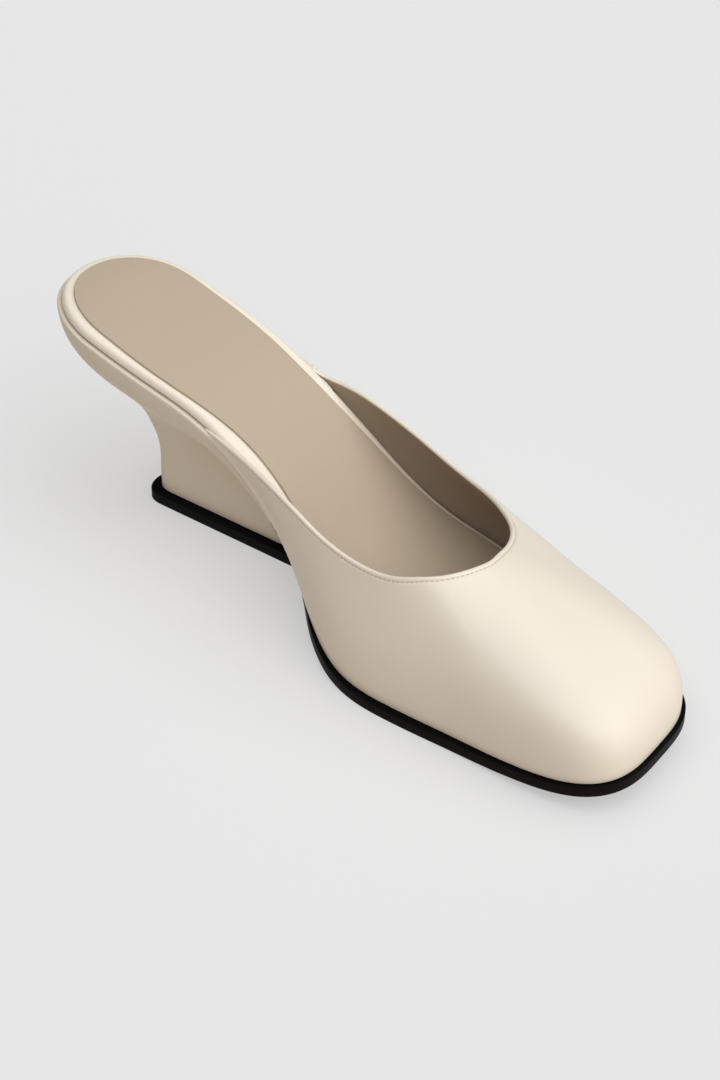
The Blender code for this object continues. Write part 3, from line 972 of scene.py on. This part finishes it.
@dataclass
class Vamp:
    """The upper: one leather with a turned topline and two wings, its lining, and the row of stitches."""

    last: Last
    inner_wing: float = 0.3185
    outer_wing: float = 0.294
    leather: float = 1.15 * MM
    turned: float = 1.5 * MM  # the thickness at the topline, where the leather is folded over
    tip_wall: float = 0.5  # share of the wall left at the tips of the wings
    skive: float = 14.0 * MM
    stitch_from_edge: float = 1.6 * MM
    stitch: float = 1.15 * MM
    pitch: float = 1.5 * MM
    thread: float = 0.34 * MM
    groove: float = 0.26 * MM
    samples: int = 60
    body_rows: int = 30
    first_row: int = 3  # the first cut past the turned edge
    shortest_lined: float = 9.0 * MM  # sections shorter than this, at the tips of the wings, have no lining

    def foot_line(self, offset: float) -> list[Vector]:
        """The foot of the upper on the bed, from the tip of the inner wing round the toe to the outer one."""
        loop = self.last.edge(offset)
        board = self.last.edge(0.0)
        starts = {Side.INNER: self.inner_wing * self.last.length, Side.OUTER: self.outer_wing * self.last.length}
        points = []
        for i, (x, y) in enumerate(loop):
            side = Side.INNER if i < len(loop) // 2 else Side.OUTER
            if board[i][0] > starts[side]:
                points.append(self.last.on_bed(x, y, self.last.clearance))
        return points

    def section(self, foot: Vector, outward: Vector, row: Sequence[float]) -> list[Vector]:
        """One section of the outer face, from the topline to the foot.

        Args:
            foot: Its foot.
            outward: The direction away from the foot's inside, level.
            row: The columns of a VampRow after the first.

        Returns:
            Points along the section.
        """
        top_along, top_side, top_height, rise, lean, reach, drop = row
        last = self.last
        top = last.seen(top_along * last.length, top_side * last.ball_width, top_height * last.instep_height)
        run = Vector((foot.x - top.x, foot.y - top.y, 0.0))
        height = top.z - foot.z
        wall = foot + outward * (lean * last.ball_width) + Vector((0.0, 0.0, rise * height))
        crown = top + run * reach - Vector((0.0, 0.0, drop * height))
        return interpolate_bezier(top, crown, wall, foot, self.samples)

    def lay_out(self) -> None:
        """Works out the outer face as columns of points by distance from the topline, with their normals."""
        last = self.last
        outer_foot = self.foot_line(last.clearance + last.wall)
        self.inner_foot = self.foot_line(last.clearance)
        steps = [(after.xy - before.xy).length for before, after in zip(outer_foot, outer_foot[1:])]
        self.run = np.concatenate([[0.0], np.cumsum(steps)])
        keys = [row.around for row in VAMP]
        names = ("top_along", "top_side", "top_height", "rise", "lean", "reach", "drop")
        curves = [Curve(keys, [getattr(row, name) for row in VAMP]) for name in names]
        self.columns = []
        for i, foot in enumerate(outer_foot):
            share = float(self.run[i] / self.run[-1])
            outward = (foot - self.inner_foot[i]) * Vector((1.0, 1.0, 0.0))
            line = self.section(foot, outward.normalized(), [curve(share) for curve in curves])
            self.columns.append(self.by_distance(line))
        self.normals = self.face_normals()

    def distances(self, length: float) -> list[float]:
        """The distances from the topline at which a section is cut, close together at the turned edge."""
        near = [0.0, 0.3, 0.6, 0.9, 1.15, 1.35, 1.5, 1.6, 1.7, 1.85, 2.05, 2.4, 3.0, 4.0, 5.5]
        scale = min(MM, length / 9.0)
        near = [value * scale for value in near]
        rest = length - near[-1]
        return near + [near[-1] + rest * (i + 1) / self.body_rows for i in range(self.body_rows)]

    def by_distance(self, line: Sequence[Vector]) -> list[Vector]:
        """Points of a line at the cutting distances from its start."""
        steps = [0.0]
        for before, after in zip(line, line[1:]):
            steps.append(steps[-1] + (after - before).length)
        coords = np.array([list(point) for point in line])
        wanted = self.distances(steps[-1])
        found = np.column_stack([np.interp(wanted, steps, coords[:, axis]) for axis in range(3)])
        return [Vector(point) for point in found]

    def face_normals(self) -> list[list[Vector]]:
        """The outward normal at each point of the columns."""
        inside = self.last.seen(0.6 * self.last.length, 0.0, 0.25 * self.last.instep_height)
        normals = []
        count = len(self.columns)
        for i, column in enumerate(self.columns):
            before, after = self.columns[max(i - 1, 0)], self.columns[min(i + 1, count - 1)]
            row = []
            for j, point in enumerate(column):
                down = column[min(j + 1, len(column) - 1)] - column[max(j - 1, 0)]
                normal = (after[j] - before[j]).cross(down).normalized()
                row.append(normal if normal.dot(point - inside) > 0 else -normal)
            normals.append(row)
        return normals

    def thin(self, i: int) -> float:
        """The share of the wall's thickness at a column: less at the tips of the wings."""
        from_tip = min(self.run[i], self.run[-1] - self.run[i])
        return self.tip_wall + (1.0 - self.tip_wall) * min(1.0, from_tip / self.skive)

    def leather_section(self, i: int) -> list[Vector]:
        """The closed section of the leather: outer face, turned edge and flesh side."""
        column, normals = self.columns[i], self.normals[i]
        distances = [0.0]
        for before, after in zip(column, column[1:]):
            distances.append(distances[-1] + (after - before).length)
        scale = min(1.0, distances[-1] / (9.0 * MM))
        radius = self.turned * self.thin(i) / 2 * scale
        outer = []
        flesh = []
        for j in range(self.first_row, len(column)):
            from_row = (distances[j] / scale - self.stitch_from_edge) / (0.28 * MM)
            sink = self.groove * scale * math.exp(-(from_row**2))
            outer.append(column[j] - normals[j] * sink)
            ease = min(1.0, max(0.0, distances[j] / scale - 2.0 * MM) / (3.0 * MM))
            wall = (self.turned + (self.leather - self.turned) * ease) * scale
            flesh.append(column[j] - normals[j] * wall * self.thin(i))
        up = (column[0] - column[3]).normalized()
        hub = column[0] - up * radius - normals[1] * radius
        rim = []
        for k in range(9):
            turn = math.pi * k / 8
            rim.append(hub + normals[1] * (radius * math.cos(turn)) + up * (radius * math.sin(turn)))
        return outer[::-1] + rim + flesh

    def build_leather(self) -> bpy.types.Object:
        """The vamp leather as one closed piece."""
        bm = sheet_of([self.leather_section(i) for i in range(len(self.columns))], True)
        ends = [edge for edge in bm.edges if edge.is_boundary]
        bmesh.ops.holes_fill(bm, edges=ends, sides=0)
        bmesh.ops.recalc_face_normals(bm, faces=bm.faces)
        piece = to_object("vamp_leather", bm, CREAM.material(), 50.0)
        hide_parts("upper")
        return piece

    def build_lining(self) -> bpy.types.Object:
        """The lining inside the vamp, from just under the turned edge to the foot."""
        start = 2
        rows = []
        for i, column in enumerate(self.columns):
            if (column[0] - column[-1]).length < self.shortest_lined:
                continue
            row = []
            for j in range(start, len(column)):
                depth = self.leather + 0.35 * MM if j > start else self.turned - 0.1 * MM
                row.append(column[j] - self.normals[i][j] * depth * self.thin(i))
            rows.append(row)
        bm = sheet_of(rows, False)
        # The lining's finish is the taupe leather darkened with painted shade.
        piece = to_object("vamp_lining", bm, TAUPE_LINING_PAINTED_SHADE.material(), 60.0)
        wall = piece.modifiers.new("wall", "SOLIDIFY")
        wall.thickness = 0.22 * MM
        wall.offset = 0.0
        return piece

    def build_stitches(self) -> bpy.types.Object:
        """The row of stitches just under the topline, each a small rounded length of thread."""
        j = 7
        line = [column[j] - normals[j] * self.groove for column, normals in zip(self.columns, self.normals)]
        normals = [row[j] for row in self.normals]
        steps = [0.0]
        for before, after in zip(line, line[1:]):
            steps.append(steps[-1] + (after - before).length)
        coords = np.array([list(point) for point in line])
        facing = np.array([list(normal) for normal in normals])
        bm = bmesh.new()
        margin = 6.0 * MM
        count = int((steps[-1] - 2 * margin) / self.pitch)
        for k in range(count):
            middle = margin + (k + 0.5) * self.pitch
            ends = [middle - self.stitch / 2, middle, middle + self.stitch / 2]
            back, here, ahead = [Vector([np.interp(end, steps, coords[:, axis]) for axis in range(3)]) for end in ends]
            up = Vector([np.interp(middle, steps, facing[:, axis]) for axis in range(3)]).normalized()
            along = (ahead - back).normalized()
            across = up.cross(along).normalized()
            turn = Matrix((along, across, up)).transposed().to_4x4()
            size = Matrix.Diagonal((self.stitch / 2, self.thread / 2, self.thread / 2, 1.0))
            place = Matrix.Translation(here + up * (0.05 * MM)) @ turn @ size
            bmesh.ops.create_uvsphere(bm, u_segments=8, v_segments=6, radius=1.0, matrix=place)
        # The thread's darker tan paints the shade of the stitch groove.
        piece = to_object("topline_stitches", bm, THREAD_PAINTED_GROOVE_SHADE.material(), 80.0)
        return piece

    def build(self) -> None:
        """Makes the leather, its lining and its stitches."""
        self.lay_out()
        self.build_leather()
        self.build_lining()
        self.build_stitches()


@dataclass(frozen=True)
class Lamp:
    """A far, wide light: the wider it is, the softer its shadows."""

    name: str
    toward: tuple[float, float, float]  # the direction from the shoe to the light
    spread: float  # degrees across
    strength: float

    def hang(self) -> None:
        """Adds the light."""
        data = bpy.data.lights.new(self.name, "SUN")
        data.angle = math.radians(self.spread)
        data.energy = self.strength
        light = bpy.data.objects.new(self.name, data)
        light.location = self.toward
        light.rotation_mode = "QUATERNION"
        light.rotation_quaternion = (-Vector(self.toward)).to_track_quat("-Z", "Y")
        bpy.context.scene.collection.objects.link(light)


@dataclass
class Studio:
    """A plain pale floor, a wide soft light from above, and the camera of the photograph."""

    camera_at: tuple[float, float, float] = (0.40997, -0.45546, 0.50768)
    aim: tuple[float, float, float] = (0.00370, -0.00591, 0.024)
    roll: float = 0.46
    focal: float = 84.0
    floor_colour: tuple[float, float, float] = (0.36, 0.36, 0.36)
    floor_glow: float = 0.44  # a light table, which keeps the shadows on it faint
    above: tuple[float, float, float] = (0.12, 0.12, 0.12)
    below: tuple[float, float, float] = (0.72, 0.61, 0.50)
    lamps: tuple[Lamp, ...] = (
        Lamp("overhead", (0.30, 0.0, 1.0), 95.0, 2.40),
        Lamp("toe_fill", (1.0, 0.05, 0.35), 80.0, 1.15),
    )

    def floor(self) -> None:
        """A wide plain floor."""
        bm = bmesh.new()
        bmesh.ops.create_grid(bm, x_segments=1, y_segments=1, size=6.0)
        mesh = bpy.data.meshes.new("floor")
        bm.to_mesh(mesh)
        bm.free()
        floor = bpy.data.objects.new("floor", mesh)
        bpy.context.scene.collection.objects.link(floor)
        sheet = MaterialSheet("pale_floor")
        sheet.into("Base Color", rgba(self.floor_colour))
        sheet.into("Roughness", 0.9)
        sheet.into("Specular IOR Level", 0.1)
        sheet.into("Emission Color", (1.0, 1.0, 1.0, 1.0))
        sheet.into("Emission Strength", self.floor_glow)
        mesh.materials.append(sheet.material)
        floor.visible_diffuse = False  # the surround lights from below instead

    def light(self) -> None:
        """A soft even surround and the wide lamps."""
        world = bpy.data.worlds.new("surround")
        world.use_nodes = True
        nodes, links = world.node_tree.nodes, world.node_tree.links
        direction = nodes.new("ShaderNodeTexCoord")
        parts = nodes.new("ShaderNodeSeparateXYZ")
        links.new(direction.outputs["Generated"], parts.inputs[0])
        ramp = nodes.new("ShaderNodeMapRange")
        ramp.inputs["From Min"].default_value = -0.25
        ramp.inputs["From Max"].default_value = 0.10
        links.new(parts.outputs["Z"], ramp.inputs["Value"])
        mix = nodes.new("ShaderNodeMix")
        mix.data_type = "RGBA"
        mix.inputs["A"].default_value = rgba(self.below)
        mix.inputs["B"].default_value = rgba(self.above)
        links.new(ramp.outputs["Result"], mix.inputs["Factor"])
        links.new(mix.outputs["Result"], nodes["Background"].inputs["Color"])
        nodes["Background"].inputs["Strength"].default_value = 1.0
        bpy.context.scene.world = world
        for lamp in self.lamps:
            lamp.hang()

    def camera(self) -> None:
        """The camera where the photograph was taken from, turned to the one shoe."""
        data = bpy.data.cameras.new("camera")
        data.lens = self.focal
        data.sensor_width = 36.0
        data.clip_start = 0.01
        camera = bpy.data.objects.new("camera", data)
        camera.location = self.camera_at
        look = (Vector(self.aim) - camera.location).to_track_quat("-Z", "Y")
        camera.rotation_mode = "QUATERNION"
        camera.rotation_quaternion = look @ Matrix.Rotation(math.radians(self.roll), 4, "Z").to_quaternion()
        bpy.context.scene.collection.objects.link(camera)
        bpy.context.scene.camera = camera

    def build(self) -> None:
        """Sets the studio up."""
        self.floor()
        self.light()
        self.camera()
        bpy.context.scene.view_settings.view_transform = "Standard"


def main() -> None:
    """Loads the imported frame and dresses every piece."""
    logging.basicConfig(level=logging.INFO, format="%(name)s %(message)s")
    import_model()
    studio = Studio()
    studio.build()
    last = Last()
    for part in (Footbed(last), Sole(last), Heel(last), Vamp(last)):
        part.build()
        LOG.info("%s done", type(part).__name__)


if __name__ == "__main__":
    main()
